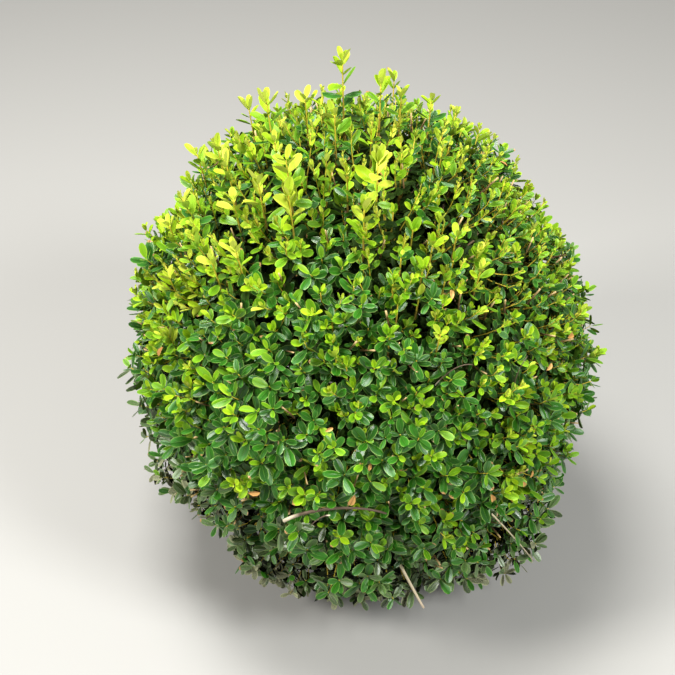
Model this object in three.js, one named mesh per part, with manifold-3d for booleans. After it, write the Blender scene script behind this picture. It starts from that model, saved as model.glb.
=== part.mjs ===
// A clipped boxwood ball rooted in the ground: a short stem with a root flare, seven boughs that fan
// out from its fork, and seven masses of leafy shoots that make one dense, rounded crown round them.
// Millimetres, +Z up. The origin is the middle of the stem's flat cut at ground level, and the front
// of the shrub faces -Y. Each leaf here stands for a few of the real 17 mm ones.
import * as THREE from "three";
import { mergeVertices } from "three/addons/utils/BufferGeometryUtils.js";
import Module from "manifold-3d";

const wasm = await Module();
wasm.setup();

// The crown, from its middle to the tips of its clipped leaves
const CROWN_RADIUS = 250;
const CROWN_MIDDLE = 250;
const DOME_RISE = 302;
const SKIRT_DROP = 240;
const DOME_SQUARENESS = 2;
const SKIRT_SQUARENESS = 2.35;
const CROWN_LEAN = 0.03;
const CROWN_WAVES = 0.012;
const GROUND_CLEARANCE = 8;

// Where the clipping is uneven: fuller and barer places, with their width in degrees
const UNEVEN = [
  { azimuth: -33, elevation: -32, width: 9, rise: 17 },
  { azimuth: -46, elevation: -40, width: 8, rise: 17 },
  { azimuth: -122, elevation: -43, width: 10, rise: 16 },
  { azimuth: -139, elevation: -32, width: 10, rise: -24 },
  { azimuth: -70, elevation: -47, width: 12, rise: -12 },
  { azimuth: -18, elevation: -19, width: 10, rise: -11 },
];

// The masses: a leafy shell round a bare inside, parted by narrow gaps
const CORE_DEPTH = 26;
const CORE_TUFTS = 7;
const CORE_CLEARANCE = 16;
const CAVITY_RADIUS = 104;
const FOOT_RADIUS = 76;
const MASS_GAP = 1;
const SIDE_MASSES = ["front", "front_right", "back_right", "back", "back_left", "front_left"];
const FRONT_AZIMUTH = -90;
const SIDE_ELEVATION = 0;
const CORE_DETAIL = 5;

// The shoots that stand out of each mass
const SHOOT_COUNT = 156;
const SHOOT_LOWEST = -58;
const SHOOT_SINK = 10;
const SHOOT_OVER = 4;
const SHOOT_LIFT = 0.3;
const SHOOT_JITTER = 0.06;
const TWIG_RADIUS = 2.1;
const TWIG_TIP_RADIUS = 1.5;
const PAIR_SPREADS = [40, 64];
const PAIR_PLACES = [1, 0.72];
const LEAF_LENGTH = 34;
const LEAF_WIDTH = 18;
const LEAF_THICKNESS = 1.3;
const LEAF_DROOP = 0.1;
const LEAF_SINK = 1.4;
const SEED = 20260;

// Slivers finer than this, left where solids are joined, are smoothed away
const FINEST_DETAIL = 0.08;

// The long new shoots that have outgrown the clipping, by azimuth, elevation and length
const LEADERS = [
  { azimuth: 124, elevation: 82, length: 57, pairs: 4 },
  { azimuth: 45, elevation: 86, length: 37, pairs: 3 },
  { azimuth: 181, elevation: 71, length: 42, pairs: 3 },
  { azimuth: -128, elevation: 66, length: 50, pairs: 3 },
  { azimuth: -84, elevation: 67, length: 60, pairs: 4 },
  { azimuth: -133, elevation: 49, length: 28, pairs: 2 },
  { azimuth: 185, elevation: 59, length: 28, pairs: 2 },
  { azimuth: 78, elevation: 58, length: 30, pairs: 2 },
];
const LEADER_LEAF = 27;
const LEADER_SPREAD = 40;
const LEADER_LIFT = 2.4;

// A bare dead twig, cut short, that lies along the front of the crown: where it leaves the leaves,
// how far round it runs, and how far it stands off them
const DEAD_TWIG = { azimuth: -83, elevation: 6, run: -23, drop: -5, height: 5 };
const DEAD_TWIG_RADIUS = 1.9;
const DEAD_TWIG_STEPS = 4;

// The wood
const STEM_RADIUS = 15;
const STEM_LEAN = 5;
const FORK_HEIGHT = 62;
const FLARE = 11;
const FLARE_HEIGHT = 13;
const FLARE_RIBS = 5;
const STEM_SIDES = 20;
const STEM_RINGS = 6;
const BOUGH_RADIUS = 6;
const BOUGH_TIP_RADIUS = 3.6;
const BOUGH_SIDES = 8;
const BOUGH_STEPS = 8;
const FORK_REACH = 6;
const FORK_STUB = 16;
const MASS_STUB = 7;
const JOIN_GAP = 0.3;

const UP = new THREE.Vector3(0, 0, 1);
const MIDDLE = new THREE.Vector3(0, 0, CROWN_MIDDLE);
const FORK = new THREE.Vector3(STEM_LEAN, STEM_LEAN / 2, FORK_HEIGHT);
const radians = THREE.MathUtils.degToRad;

// A repeatable row of numbers from 0 to 1
function seeded(seed) {
  let state = seed;
  return () => {
    state = (state * 1664525 + 1013904223) % 4294967296;
    return state / 4294967296;
  };
}

function direction(azimuth, elevation) {
  const flat = Math.cos(radians(elevation));
  return new THREE.Vector3(
    flat * Math.cos(radians(azimuth)),
    flat * Math.sin(radians(azimuth)),
    Math.sin(radians(elevation)),
  );
}

// A closed mesh given as points and triangles becomes a solid
function solidOfFaces(points, faces) {
  return new wasm.Manifold(
    new wasm.Mesh({
      numProp: 3,
      vertProperties: new Float32Array(points.flatMap((p) => [p.x, p.y, p.z])),
      triVerts: new Uint32Array(faces.flat()),
    }),
  );
}

function solidOfGeometry(geometry) {
  geometry.deleteAttribute("normal");
  geometry.deleteAttribute("uv");
  const merged = mergeVertices(geometry, 1e-4);
  return new wasm.Manifold(
    new wasm.Mesh({
      numProp: 3,
      vertProperties: merged.attributes.position.array,
      triVerts: new Uint32Array(merged.index.array),
    }),
  );
}

// The largest body of a solid: loose scraps are dropped, and hollows sealed inside it are filled
function wholeBody(solid) {
  return solid.decompose().reduce((best, body) => (body.volume() > best.volume() ? body : best));
}

function meshOf(solid, name, material) {
  const { vertProperties, triVerts } = wholeBody(solid.simplify(FINEST_DETAIL)).getMesh();
  const geometry = new THREE.BufferGeometry();
  geometry.setAttribute("position", new THREE.BufferAttribute(vertProperties, 3));
  geometry.setIndex(new THREE.BufferAttribute(triVerts, 1));
  geometry.computeVertexNormals();
  const mesh = new THREE.Mesh(geometry, material);
  mesh.name = name;
  return mesh;
}

// Rings of points, joined side by side and closed at both ends by a fan
function solidOfRings(rings) {
  const sides = rings[0].length;
  const faces = [];
  for (let r = 0; r + 1 < rings.length; r++) {
    for (let s = 0; s < sides; s++) {
      const a = r * sides + s;
      const b = r * sides + ((s + 1) % sides);
      faces.push([a, b, b + sides], [a, b + sides, a + sides]);
    }
  }
  const last = (rings.length - 1) * sides;
  for (let s = 1; s + 1 < sides; s++) {
    faces.push([0, s + 1, s], [last, last + s, last + s + 1]);
  }
  return solidOfFaces(rings.flat(), faces);
}

// One stretch of a tapering limb, cut square across its curve at both ends
function limbStretch(curve, from, to, steps, radiusAt, sideways, sides = BOUGH_SIDES) {
  const length = curve.getLength();
  const rings = [];
  for (let i = 0; i <= steps; i++) {
    const share = (from + ((to - from) * i) / steps) / length;
    const centre = curve.getPointAt(share);
    const across = new THREE.Vector3().crossVectors(sideways, curve.getTangentAt(share)).normalize();
    const beside = new THREE.Vector3().crossVectors(curve.getTangentAt(share), across);
    const ring = [];
    for (let s = 0; s < sides; s++) {
      const turn = (2 * Math.PI * s) / sides;
      ring.push(
        centre
          .clone()
          .addScaledVector(across, radiusAt(share) * Math.cos(turn))
          .addScaledVector(beside, radiusAt(share) * Math.sin(turn)),
      );
    }
    rings.push(ring);
  }
  return solidOfRings(rings);
}

// How far the clipped crown reaches from its middle: a dome over a shallower and squarer skirt, with
// a slight lean to the left, shallow waves, and its few uneven places
function crownReach(way) {
  const flat = Math.hypot(way.x, way.y);
  const squareness = way.z > 0 ? DOME_SQUARENESS : SKIRT_SQUARENESS;
  const tall = Math.abs(way.z) / (way.z > 0 ? DOME_RISE : SKIRT_DROP);
  const round = ((flat / CROWN_RADIUS) ** squareness + tall ** squareness) ** (-1 / squareness);
  const turn = Math.atan2(way.y, way.x);
  const waves = flat * (Math.sin(3 * turn + 4 * way.z + 0.6) + 0.7 * Math.sin(5 * turn - 3 * way.z));
  const rises = UNEVEN.map(({ azimuth, elevation, width, rise }) => {
    const off = way.angleTo(direction(azimuth, elevation)) / radians(width);
    return rise * Math.exp(-off * off);
  });
  const leaning = 1 - CROWN_LEAN * way.x * (way.y + way.z) + CROWN_WAVES * waves;
  return rises.reduce((reach, rise) => reach + rise, round * leaning);
}

// The face of the dense inside: the crown's shape set in by a depth, uneven with tufts, and stopped
// at a height above the ground
function coreReach(way) {
  const tuft = Math.sin(25 * way.x + 9 * way.z) + Math.sin(27 * way.y - 11 * way.z + 1);
  const reach = crownReach(way) - CORE_DEPTH + (CORE_TUFTS / 2) * tuft;
  return way.z < 0 ? Math.min(reach, (CROWN_MIDDLE - CORE_CLEARANCE) / -way.z) : reach;
}

const masses = [
  { name: "top", azimuth: 0, axis: UP.clone() },
  ...SIDE_MASSES.map((name, i) => {
    const azimuth = FRONT_AZIMUTH + (360 / SIDE_MASSES.length) * i;
    return { name, azimuth, axis: direction(azimuth, SIDE_ELEVATION) };
  }),
];

function massOf(way) {
  return masses.reduce((best, mass) => (way.dot(mass.axis) > way.dot(best.axis) ? mass : best));
}

// The planes, all through the crown's middle, that part a mass from its neighbours
for (const mass of masses) {
  mass.walls = masses
    .filter((other) => other !== mass)
    .map((other) => mass.axis.clone().sub(other.axis).normalize());
}

function keepsItsSpace(point, mass) {
  const from = point.clone().sub(MIDDLE);
  return point.z > GROUND_CLEARANCE && mass.walls.every((wall) => from.dot(wall) > MASS_GAP / 2);
}

// The half of space on a wall's own side, as a large box
function ownSide(wall) {
  const size = 4 * CROWN_RADIUS;
  const box = new THREE.BoxGeometry(size, size, size);
  box.translate(0, 0, size / 2 + MASS_GAP / 2);
  box.applyQuaternion(new THREE.Quaternion().setFromUnitVectors(UP, wall));
  box.translate(MIDDLE.x, MIDDLE.y, MIDDLE.z);
  return solidOfGeometry(box);
}

// The dense inside of the foliage
function crownCore() {
  const geometry = new THREE.IcosahedronGeometry(1, CORE_DETAIL);
  const place = geometry.getAttribute("position");
  for (let i = 0; i < place.count; i++) {
    const way = new THREE.Vector3().fromBufferAttribute(place, i).normalize();
    const point = MIDDLE.clone().addScaledVector(way, coreReach(way));
    place.setXYZ(i, point.x, point.y, point.z);
  }
  return solidOfGeometry(geometry);
}

// The bare inside: a ball of space round the boughs, open downwards to the ground
function bareInside() {
  const ball = new THREE.IcosahedronGeometry(CAVITY_RADIUS, 2);
  ball.translate(MIDDLE.x, MIDDLE.y, MIDDLE.z);
  const foot = new THREE.CylinderGeometry(FOOT_RADIUS, FOOT_RADIUS, CROWN_MIDDLE, 18);
  foot.rotateX(Math.PI / 2);
  foot.translate(0, 0, CROWN_MIDDLE / 2 - 1);
  return solidOfGeometry(ball).add(solidOfGeometry(foot));
}

// A blunt leaf, widest beyond its middle: five points round its edge, and a low peak on its face
function leafPoints(root, along, face, length, width) {
  const side = new THREE.Vector3().crossVectors(along, face).normalize();
  const top = new THREE.Vector3().crossVectors(side, along).normalize();
  const at = (far, out, high) =>
    root
      .clone()
      .addScaledVector(along, far * length)
      .addScaledVector(side, out * width)
      .addScaledVector(top, high - LEAF_DROOP * length * far * far);
  return [at(0, 0, 0), at(0.58, 0.5, 0), at(0.97, 0.17, 0), at(0.97, -0.17, 0), at(0.58, -0.5, 0)].concat(
    at(0.55, 0, LEAF_THICKNESS),
  );
}

const LEAF_FACES = [
  [0, 1, 5],
  [1, 2, 5],
  [2, 3, 5],
  [3, 4, 5],
  [4, 0, 5],
  [1, 0, 4],
  [1, 4, 3],
  [1, 3, 2],
];

// A three-sided twig, thinner at its tip
function twigRings(root, tip) {
  const along = tip.clone().sub(root).normalize();
  const side = new THREE.Vector3().crossVectors(along, new THREE.Vector3(0.31, 0.95, 0.05)).normalize();
  const other = new THREE.Vector3().crossVectors(along, side);
  return [
    [root, TWIG_RADIUS],
    [tip, TWIG_TIP_RADIUS],
  ].map(([centre, radius]) =>
    [0, 1, 2].map((corner) =>
      centre
        .clone()
        .addScaledVector(side, radius * Math.cos((2 * Math.PI * corner) / 3))
        .addScaledVector(other, radius * Math.sin((2 * Math.PI * corner) / 3)),
    ),
  );
}

// The opposite leaves of one shoot, each pair turned a quarter from the last, as far as they keep to
// their mass's space
function shootLeaves(mass, root, tip, pairs, turn) {
  const along = tip.clone().sub(root).normalize();
  const across = new THREE.Vector3().crossVectors(along, new THREE.Vector3(0.2, 0.3, 0.93)).normalize();
  const leaves = [];
  pairs.forEach(({ place, spread, length }, i) => {
    const node = root.clone().lerp(tip, place);
    for (const half of [0, 1]) {
      const out = across.clone().applyAxisAngle(along, turn + (Math.PI / 2) * i + Math.PI * half);
      const way = along
        .clone()
        .multiplyScalar(Math.cos(radians(spread)))
        .addScaledVector(out, Math.sin(radians(spread)));
      const start = node.clone().addScaledVector(along, -LEAF_SINK).addScaledVector(out, LEAF_SINK / 8);
      leaves.push(leafPoints(start, way, along, length, (LEAF_WIDTH / LEAF_LENGTH) * length));
    }
  });
  return leaves.filter((points) => points.every((point) => keepsItsSpace(point, mass)));
}

// One shoot: a twig that is skipped where it would leave its mass's space, turned about itself so
// that as many of its leaves as possible keep to that space
function shootSolids(mass, root, tip, pairs, turn) {
  const rings = twigRings(root, tip);
  if (!rings.flat().every((point) => keepsItsSpace(point, mass))) return [];
  const leaves = [0, 1, 2, 3, 4, 5]
    .map((step) => shootLeaves(mass, root, tip, pairs, turn + (step * Math.PI) / 12))
    .reduce((best, found) => (found.length > best.length ? found : best));
  return [solidOfRings(rings), ...leaves.map((points) => solidOfFaces(points, LEAF_FACES))];
}

// Shoots spread evenly over the whole crown by the golden angle, each in the mass whose axis is nearest
function clippedShoots(random) {
  const golden = Math.PI * (3 - Math.sqrt(5));
  const made = [];
  for (let i = 0; i < SHOOT_COUNT; i++) {
    const height = 1 - (2 * (i + 0.5)) / SHOOT_COUNT + (random() - 0.5) * SHOOT_JITTER;
    const flat = Math.sqrt(Math.max(0, 1 - height * height));
    const turn = golden * i + (random() - 0.5) * SHOOT_JITTER;
    const spin = random() * Math.PI;
    const size = 0.88 + 0.24 * random();
    const way = new THREE.Vector3(flat * Math.cos(turn), flat * Math.sin(turn), height).normalize();
    if (way.z < Math.sin(radians(SHOOT_LOWEST))) continue;
    const mass = massOf(way);
    const root = MIDDLE.clone().addScaledVector(way, coreReach(way) - SHOOT_SINK);
    const growth = way.clone().addScaledVector(UP, SHOOT_LIFT * (1 - Math.abs(way.z))).normalize();
    const length = LEAF_LENGTH * size;
    const rise = SHOOT_SINK + CORE_DEPTH + SHOOT_OVER - length * Math.cos(radians(PAIR_SPREADS[0]));
    const tip = root.clone().addScaledVector(growth, rise);
    const pairs = PAIR_PLACES.map((place, k) => ({ place, spread: PAIR_SPREADS[k], length }));
    made.push({ mass, solids: shootSolids(mass, root, tip, pairs, spin) });
  }
  return made;
}

// The long shoots, which grow nearly upright with smaller leaves
function leaderShoots() {
  return LEADERS.map(({ azimuth, elevation, length, pairs }) => {
    const way = direction(azimuth, elevation);
    const mass = massOf(way);
    const growth = way.clone().addScaledVector(UP, LEADER_LIFT).normalize();
    const root = MIDDLE.clone().addScaledVector(way, coreReach(way) - SHOOT_SINK);
    const rise = CORE_DEPTH + SHOOT_SINK + length - LEADER_LEAF * Math.cos(radians(LEADER_SPREAD));
    const tip = root.clone().addScaledVector(growth, rise);
    const leaves = [];
    for (let i = 0; i < pairs; i++) {
      leaves.push({
        place: 1 - (i * 0.9 * length) / pairs / rise,
        spread: LEADER_SPREAD + 6 * i,
        length: LEADER_LEAF * (1 + 0.08 * i),
      });
    }
    return { mass, solids: shootSolids(mass, root, tip, leaves, radians(azimuth)) };
  });
}

function deadTwig() {
  const { azimuth, elevation, run, drop, height } = DEAD_TWIG;
  const at = (share, depth) => {
    const way = direction(azimuth + run * share, elevation + drop * share);
    return MIDDLE.clone().addScaledVector(way, crownReach(way) + depth);
  };
  const line = new THREE.CatmullRomCurve3([
    at(0, -CORE_DEPTH - SHOOT_SINK),
    at(0.15, -CORE_DEPTH / 3),
    at(0.4, height),
    at(1, height),
  ]);
  const radius = (share) => DEAD_TWIG_RADIUS * (1.15 - 0.3 * share);
  return limbStretch(line, 0, line.getLength(), DEAD_TWIG_STEPS, radius, UP, 5);
}

// Each bough's whole line, from inside the stem's fork to inside its mass
function boughLine(mass) {
  const out = direction(mass.azimuth, 0);
  const upright = mass.name === "top";
  const start = FORK.clone().addScaledVector(out, upright ? 0 : FORK_REACH).addScaledVector(UP, -FORK_STUB / 2);
  const leave = upright ? UP.clone() : out.clone().addScaledVector(UP, 1.15).normalize();
  const arrive = upright ? UP.clone() : mass.axis.clone().addScaledVector(UP, 0.75).normalize();
  const wall = MIDDLE.clone().addScaledVector(mass.axis, CAVITY_RADIUS);
  const end = wall.clone().addScaledVector(arrive, 2 * MASS_STUB);
  const bend = start.distanceTo(end) / 3;
  return new THREE.CubicBezierCurve3(
    start,
    start.clone().addScaledVector(leave, bend),
    end.clone().addScaledVector(arrive, -bend),
    end,
  );
}

const taper = (share) => BOUGH_RADIUS + (BOUGH_TIP_RADIUS - BOUGH_RADIUS) * share;

// Where a bough's line is cut: clear of the stem's stub, and of its mass's
function boughCuts(line) {
  const length = line.getLength();
  return { length, stub: FORK_STUB, tip: length - 4 * MASS_STUB };
}

function boughStretch(mass, part) {
  const line = boughLine(mass);
  const { length, stub, tip } = boughCuts(line);
  const sideways = direction(mass.azimuth + 90, 0);
  const stretches = {
    fork: [0, stub, 2],
    bough: [stub + JOIN_GAP, tip, BOUGH_STEPS],
    mass: [tip + JOIN_GAP, length, 3],
  };
  return limbStretch(line, ...stretches[part], taper, sideways);
}

// The stem leans a little, and flares in ribs towards the ground
function stemSolid() {
  const rings = [];
  for (let r = 0; r <= STEM_RINGS; r++) {
    const share = (r / STEM_RINGS) ** 1.4;
    const height = share * FORK_HEIGHT;
    const ring = [];
    for (let s = 0; s < STEM_SIDES; s++) {
      const turn = (2 * Math.PI * s) / STEM_SIDES;
      const flare = FLARE * Math.exp(-height / FLARE_HEIGHT) * (1 + 0.3 * Math.cos(FLARE_RIBS * turn));
      const radius = STEM_RADIUS * (1 - 0.12 * share) + flare;
      ring.push(
        new THREE.Vector3(
          FORK.x * share + radius * Math.cos(turn),
          FORK.y * share + radius * Math.sin(turn),
          height,
        ),
      );
    }
    rings.push(ring);
  }
  return masses.reduce((stem, mass) => stem.add(boughStretch(mass, "fork")), solidOfRings(rings));
}

const bark = new THREE.MeshStandardMaterial({ color: 0x7d6a50, roughness: 0.9, metalness: 0 });
const leafGreen = new THREE.MeshStandardMaterial({ color: 0x4c8030, roughness: 0.5, metalness: 0 });

const group = new THREE.Group();
group.add(meshOf(stemSolid(), "main_stem", bark));

const core = crownCore().subtract(bareInside());
const shoots = [...clippedShoots(seeded(SEED)), ...leaderShoots()];
for (const mass of masses) {
  group.add(meshOf(boughStretch(mass, "bough"), "bough_" + mass.name, bark));
  const own = mass.walls.reduce((rest, wall) => rest.intersect(ownSide(wall)), core);
  const parts = shoots.filter((shoot) => shoot.mass === mass).flatMap((shoot) => shoot.solids);
  if (mass.name === "front") parts.push(deadTwig());
  const whole = parts.reduce((body, part) => body.add(part), own.add(boughStretch(mass, "mass")));
  group.add(meshOf(whole, "foliage_" + mass.name, leafGreen));
}

export default group;
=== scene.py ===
import math
import bpy
import numpy as np
from mathutils import Matrix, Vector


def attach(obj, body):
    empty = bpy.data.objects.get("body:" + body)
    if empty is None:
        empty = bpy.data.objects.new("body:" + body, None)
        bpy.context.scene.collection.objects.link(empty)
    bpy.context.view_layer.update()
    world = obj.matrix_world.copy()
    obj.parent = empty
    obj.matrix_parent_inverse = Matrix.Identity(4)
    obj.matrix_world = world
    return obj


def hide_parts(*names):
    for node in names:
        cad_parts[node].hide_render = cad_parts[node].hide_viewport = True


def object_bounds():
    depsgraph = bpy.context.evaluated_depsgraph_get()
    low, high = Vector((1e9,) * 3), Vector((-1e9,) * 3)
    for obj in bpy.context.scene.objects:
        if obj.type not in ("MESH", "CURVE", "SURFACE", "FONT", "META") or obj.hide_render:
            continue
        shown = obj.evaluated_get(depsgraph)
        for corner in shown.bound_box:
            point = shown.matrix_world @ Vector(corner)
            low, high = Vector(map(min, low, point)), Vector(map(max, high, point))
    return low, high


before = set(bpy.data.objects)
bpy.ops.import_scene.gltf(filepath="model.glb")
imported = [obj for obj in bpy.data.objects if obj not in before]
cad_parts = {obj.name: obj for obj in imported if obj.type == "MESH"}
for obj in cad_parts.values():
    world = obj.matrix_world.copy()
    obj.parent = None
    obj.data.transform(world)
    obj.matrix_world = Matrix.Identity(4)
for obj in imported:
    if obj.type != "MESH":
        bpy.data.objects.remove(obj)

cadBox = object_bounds()
boxLow, boxHigh = np.array(cadBox[0]), np.array(cadBox[1])
seed = 20260
dice = np.random.default_rng(seed)
up = np.array([0.0, 0.0, 1.0])
massNames = ["top", "front", "front_right", "back_right", "back", "back_left", "front_left"]
foliageNodes = ["foliage_" + name for name in massNames]
boughNodes = ["bough_" + name for name in massNames]

# The crown, the same shape as the solids': lengths in metres, then shares
crown = {
    "radius": 0.250, "middle": 0.250, "domeRise": 0.302, "skirtDrop": 0.240, "tufts": 0.006,
    "domeSquareness": 2.0, "skirtSquareness": 2.35, "lean": 0.03, "waves": 0.012,
}
middle = np.array([0.0, 0.0, crown["middle"]])

# Waves round the axis: how often round, how much they climb, where they start, and their share
crownWaves = [(3, 4, 0.6, 1.0), (5, -3, 0.0, 0.7)]

# Where the crown stands out or falls back: azimuth, elevation and width in degrees, rise in metres
unevenPlaces = [
    (-33, -32, 9, 0.017), (-46, -40, 8, 0.017), (-122, -43, 10, 0.016),
    (-139, -32, 10, -0.024), (-70, -47, 12, -0.012), (-18, -19, 10, -0.011),
]


def unit(v):
    return v / np.linalg.norm(v, axis=-1, keepdims=True)


# Directions from an azimuth and an elevation in degrees
def compass(azimuth, elevation):
    a, e = np.radians(azimuth), np.radians(elevation)
    return np.stack([np.cos(e) * np.cos(a), np.cos(e) * np.sin(a), np.sin(e)], axis=-1)


# The photograph's frame: frame, focal and middleAt in pixels, elevation in degrees, distance and
# nearest in metres, sensor in millimetres
view = {
    "frame": 675, "focal": 1328, "middleAt": (362, 360), "elevation": 41, "distance": 1.45,
    "nearest": 0.05, "sensor": 36,
}


# The camera stands in front and above, turned so that the crown's middle falls on its pixel
def makeCamera():
    e = math.radians(view["elevation"])
    spot = middle + view["distance"] * np.array([0, -math.cos(e), math.sin(e)])
    ahead = unit(middle - spot)
    right = np.array([1.0, 0, 0])
    above = np.cross(right, ahead)
    half = view["frame"] / 2
    offX, offY = (view["middleAt"][0] - half) / view["focal"], (view["middleAt"][1] - half) / view["focal"]
    aim = unit(ahead - offX * right + offY * above)
    right = unit(np.cross(aim, up))
    above = np.cross(right, aim)
    data = bpy.data.cameras.new("camera")
    data.sensor_width = view["sensor"]
    data.lens = view["focal"] / view["frame"] * view["sensor"]
    data.clip_start = view["nearest"]
    camera = bpy.data.objects.new("camera", data)
    turn = np.eye(4)
    turn[:3, 0], turn[:3, 1], turn[:3, 2], turn[:3, 3] = right, above, -aim, spot
    camera.matrix_world = Matrix(turn.tolist())
    bpy.context.scene.collection.objects.link(camera)
    bpy.context.scene.camera = camera


makeCamera()


# Adds a bell for each place: its amount falls off with the square of the angle over its width
def withBells(found, ways, places):
    for azimuth, elevation, width, amount in places:
        off = np.degrees(np.arccos(np.clip(ways @ compass(azimuth, elevation), -1, 1))) / width
        found = found + amount * np.exp(-off * off)
    return found


# From the middle to the crown's face: a super-ellipse from flat to tall, taller above the middle than
# below, times a slight lean and the waves round the axis, plus a bell for each uneven place
def crownReach(way):
    x, y, z = way[..., 0], way[..., 1], way[..., 2]
    flat = np.hypot(x, y)
    power = np.where(z > 0, crown["domeSquareness"], crown["skirtSquareness"])
    tall = np.abs(z) / np.where(z > 0, crown["domeRise"], crown["skirtDrop"])
    reach = ((flat / crown["radius"]) ** power + tall ** power) ** (-1 / power)
    turn = np.arctan2(y, x)
    waves = sum(share * np.sin(often * turn + climb * z + start)
                for often, climb, start, share in crownWaves)
    reach = reach * (1 - crown["lean"] * x * (y + z) + crown["waves"] * (flat * waves))
    return withBells(reach, way, unevenPlaces)


# Soft bumps a few centimetres wide: the mean of sines across three slanted directions
tuftWaves = [(19, 0, 7, 1.0), (-9, 21, 0, 2.1), (0, 8, 23, 0.0)]


def tuftHeight(way):
    x, y, z = way[..., 0], way[..., 1], way[..., 2]
    waves = [np.sin(a * x + b * y + c * z + start) for a, b, c, start in tuftWaves]
    return sum(waves) / len(waves)


# How far a direction points below a height, from 0 to 1
def lowness(ways, start, over):
    return np.clip((start - ways[:, 2]) / over, 0, 1)


# The masses' axes: one up, and six round the crown
massTurns = -90 + 60 * np.arange(6)
massAxes = np.vstack([up, compass(massTurns, np.zeros(6))])


# The number of the mass whose axis is nearest
def massOf(way):
    return np.argmax(way @ massAxes.T, axis=-1)


# Directions spread evenly over the ball by the golden angle, each nudged at random, down to a height
def goldenWays(count, nudge, lowest):
    i = np.arange(count)
    height = 1 - 2 * (i + 0.5) / count
    flat = np.sqrt(1 - height ** 2)
    turn = i * math.pi * (3 - math.sqrt(5))
    ways = np.stack([flat * np.cos(turn), flat * np.sin(turn), height], axis=-1)
    ways = unit(ways + dice.normal(0, nudge * math.sqrt(4 * math.pi / count), ways.shape))
    return ways[ways[:, 2] > lowest]


# Points and triangles made a smooth mesh, where the sharp pairs of points in every copy keep an edge
def makeMesh(name, points, triangles, uv=None, sharpPairs=None, perCopy=0):
    mesh = bpy.data.meshes.new(name)
    mesh.vertices.add(len(points))
    mesh.vertices.foreach_set("co", np.ascontiguousarray(points, dtype=np.float32).ravel())
    mesh.loops.add(3 * len(triangles))
    mesh.loops.foreach_set("vertex_index", triangles.astype(np.int32).ravel())
    mesh.polygons.add(len(triangles))
    mesh.polygons.foreach_set("loop_start", np.arange(0, 3 * len(triangles), 3, dtype=np.int32))
    mesh.polygons.foreach_set("use_smooth", np.ones(len(triangles), dtype=bool))
    if uv is not None:
        layer = mesh.uv_layers.new(name="OFBake")
        layer.data.foreach_set("uv", np.ascontiguousarray(uv, dtype=np.float32).ravel())
    mesh.update(calc_edges=True)
    if sharpPairs is not None:
        ends = np.empty(2 * len(mesh.edges), dtype=np.int32)
        mesh.edges.foreach_get("vertices", ends)
        table = np.zeros((perCopy, perCopy), dtype=bool)
        for a, b in sharpPairs:
            table[a, b] = table[b, a] = True
        ends = ends.reshape(-1, 2) % perCopy
        flags = mesh.attributes.new("sharp_edge", "BOOLEAN", "EDGE")
        flags.data.foreach_set("value", table[ends[:, 0], ends[:, 1]])
    piece = bpy.data.objects.new(name, mesh)
    bpy.context.scene.collection.objects.link(piece)
    return piece


# Every piece of the plant rides on the one body, in place of the nodes that it dresses
def onPlant(piece, material, nodes):
    piece.data.materials.append(material)
    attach(piece, "root")
    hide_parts(*nodes)


# A point and a heading at each share of the way along cubic curves. Curves are their starts, ends,
# and headings at the start and the end
def bend(curves, share):
    start, end, leave, arrive = [row[:, None] for row in curves]
    span = np.linalg.norm(end - start, axis=-1, keepdims=True) / 3
    a, b = start + leave * span, end - arrive * span
    t = share[..., None]
    spot = (1 - t) ** 3 * start + 3 * t * (1 - t) ** 2 * a + 3 * t ** 2 * (1 - t) * b + t ** 3 * end
    heading = (1 - t) ** 2 * (a - start) + 2 * t * (1 - t) * (b - a) + t ** 2 * (end - b)
    return spot, unit(heading)


# The margins of the strip of the map that all tubes share, at its ends and at its sides, and how
# upright a tube may be before its rings are turned by another helper
tubeMap = {"end": 0.02, "side": 0.05, "upright": 0.9}

# How many steps along and sides round each kind of tube has
tubeCounts = {
    "boughs": (60, 18), "branches": (7, 6), "twigs": (4, 4), "shoots": (5, 3), "leaders": (8, 4),
    "loose": (10, 8), "clipped": (3, 5),
}


# The walls between rings of points, two triangles for every four points
def ringWalls(rings, sides):
    ring, k = np.meshgrid(np.arange(rings - 1), np.arange(sides), indexing="ij")
    a, b = (ring * sides + k).ravel(), (ring * sides + (k + 1) % sides).ravel()
    return np.concatenate([np.stack([a, b, b + sides], -1), np.stack([a, b + sides, a + sides], -1)])


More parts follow.
